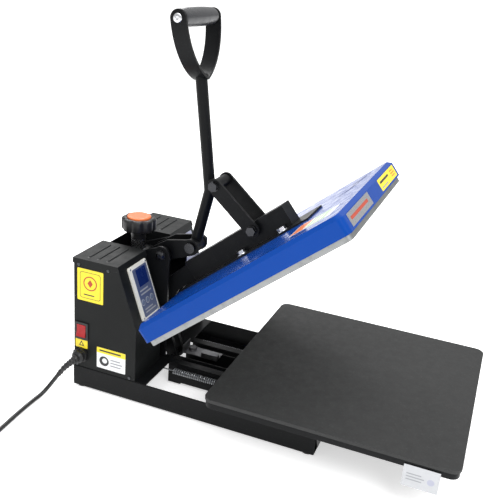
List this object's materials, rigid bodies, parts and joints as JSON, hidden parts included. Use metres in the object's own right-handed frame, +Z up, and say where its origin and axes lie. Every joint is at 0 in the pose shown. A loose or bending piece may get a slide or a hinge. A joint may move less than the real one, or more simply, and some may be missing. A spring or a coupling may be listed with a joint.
{
  "type": "clamshell heat press",
  "caption": "Clamshell heat press with a hinged upper platen, a lever with a D grip, a pressure knob, twin control towers and a pull-out lower platen.",
  "frame": {"origin": "on the floor under the middle of the machine's bounding box, cord not counted", "axes": "+X the operator's right, +Y the rear where the towers stand, +Z up"},
  "size_m": [0.666, 0.76, 0.6265],
  "materials": {
    "black_paint": "semi_gloss powder coat",
    "charcoal_paint": "fine textured powder coat",
    "blue_paint": "glossy enamel",
    "zinc": "bright zinc plate",
    "steel": "oiled",
    "dark_steel": "blackened",
    "cast_aluminium": "matte cast, non-stick coated face",
    "heat_sink": "extruded",
    "brass": "satin",
    "rubber": "matte",
    "pad_rubber": "matte, lightly dusty",
    "cord_rubber": "satin",
    "black_plastic": "satin",
    "cream_plastic": "satin",
    "red_plastic": "glossy",
    "orange_plastic": "glossy",
    "button_plastic": "satin",
    "screen": "glossy",
    "board": "satin",
    "blanket": "fibre mat"
  },
  "bodies": {
    "base": {"rail_left": "black_paint", "rail_right": "black_paint", "front_cross_member": "black_paint", "rear_cross_member": "black_paint", "inner_rail_left": "black_paint", "inner_rail_right": "black_paint", "centre_channel": "black_paint", "base_deck": "black_paint", "rubber_feet": "rubber", "drawer_stop": "zinc", "cheek_left": "black_paint", "cheek_right": "black_paint", "adjuster_block": "black_paint", "main_hinge_pin": "steel", "rocker_pivot_pin": "steel", "tower_shell_left": "charcoal_paint", "tower_cover_left": "charcoal_paint", "tower_shell_right": "charcoal_paint", "tower_cover_right": "charcoal_paint", "back_panel": "black_paint", "controller_bezel": "cream_plastic", "controller_screen": "screen", "controller_board": "board", "power_relay": "heat_sink", "switch_housing": "black_plastic", "cord_gland": "black_plastic", "strain_relief": "cord_rubber", "power_cord": "cord_rubber", "power_cord_coil": "cord_rubber", "plug_body": "black_plastic", "plug_pins": "brass"},
    "upper_platen": {"upper_case": "blue_paint", "heat_plate": "cast_aluminium", "insulation_blanket": "blanket", "upper_arm": "black_paint", "arm_tail": "black_paint", "arm_bolts": "zinc", "arm_link_pin": "dark_steel"},
    "links": {"link_left": "black_paint", "link_right": "black_paint", "link_bolts": "dark_steel"},
    "rocker": {"rocker_left": "black_paint", "rocker_right": "black_paint", "handle_pivot_bolt": "dark_steel"},
    "handle": {"handle_tube": "black_paint", "grip_strap": "black_paint"},
    "grip": {"handle_grip": "rubber"},
    "trunnion": {"trunnion_nut": "steel"},
    "knob": {"pressure_knob": "black_plastic", "knob_cap": "orange_plastic", "adjuster_screw": "zinc"},
    "springs": {"lift_spring_left": "steel", "lift_spring_right": "steel"},
    "drawer": {"lower_plate": "black_paint", "platen_pad": "pad_rubber", "drawer_carriage": "black_paint"},
    "switch": {"switch_rocker": "red_plastic"},
    "set_button": {"button_set": "button_plastic"},
    "up_button": {"button_up": "button_plastic"},
    "down_button": {"button_down": "button_plastic"}
  },
  "joints": [
    {"name": "platen_close", "type": "hinge", "parent": "base", "child": "upper_platen", "pos_m": [0, 0.2262, 0.12], "axis": [1, 0, 0], "range_deg": [0, 39.7], "stiffness_Nm_per_rad": 13, "springref_deg": -80.21},
    {"name": "link_swing", "type": "hinge", "parent": "upper_platen", "child": "links", "pos_m": [0, 0.061, 0.3015], "axis": [1, 0, 0], "range_deg": [-38.52, 0]},
    {"name": "rocker_tilt", "type": "hinge", "parent": "base", "child": "rocker", "pos_m": [0, 0.214, 0.229], "axis": [1, 0, 0], "range_deg": [-2.73, 2.73]},
    {"name": "handle_swing", "type": "hinge", "parent": "rocker", "child": "handle", "pos_m": [0, 0.169, 0.2465], "axis": [1, 0, 0], "range_deg": [0, 86.52]},
    {"name": "grip_turn", "type": "hinge", "parent": "handle", "child": "grip", "pos_m": [0, 0.18841, 0.61204], "axis": [1, 0, 0], "continuous": true},
    {"name": "trunnion_slide", "type": "slide", "parent": "base", "child": "trunnion", "axis": [0, 0, 1], "range_m": [-0.00301, 0.00301], "stiffness_N_per_m": 10, "springref_m": 0.0627},
    {"name": "knob_turn", "type": "hinge", "parent": "base", "child": "knob", "pos_m": [0, 0.277, 0.24], "axis": [0, 0, 1], "range_deg": [-540, 540]},
    {"name": "spring_stretch", "type": "slide", "parent": "base", "child": "springs", "axis": [0, 1, 0], "range_m": [0, 0.06384], "deforming": ["lift_spring_left", "lift_spring_right"]},
    {"name": "drawer_slide", "type": "slide", "parent": "base", "child": "drawer", "axis": [0, 1, 0], "range_m": [0, 0.108]},
    {"name": "switch_tilt", "type": "hinge", "parent": "base", "child": "switch", "pos_m": [-0.131, 0.305, 0.108], "axis": [0, 1, 0], "range_deg": [-16, 0]},
    {"name": "set_press", "type": "slide", "parent": "base", "child": "set_button", "axis": [0, 0.941, -0.3385], "range_m": [0, 0.001], "stiffness_N_per_m": 400, "springref_m": -0.0005},
    {"name": "up_press", "type": "slide", "parent": "base", "child": "up_button", "axis": [0, 0.941, -0.3385], "range_m": [0, 0.001], "stiffness_N_per_m": 400, "springref_m": -0.0005},
    {"name": "down_press", "type": "slide", "parent": "base", "child": "down_button", "axis": [0, 0.941, -0.3385], "range_m": [0, 0.001], "stiffness_N_per_m": 400, "springref_m": -0.0005}
  ],
  "couplings": [
    {"joint": "link_swing", "follows": "platen_close", "ratio": -0.97018},
    {"joint": "handle_swing", "follows": "platen_close", "ratio": 2.1793},
    {"joint": "spring_stretch", "follows": "platen_close", "m_per_rad": 0.092131},
    {"joint": "knob_turn", "follows": "rocker_tilt", "ratio": -197.8},
    {"joint": "trunnion_slide", "follows": "rocker_tilt", "m_per_rad": 0.063}
  ]
}
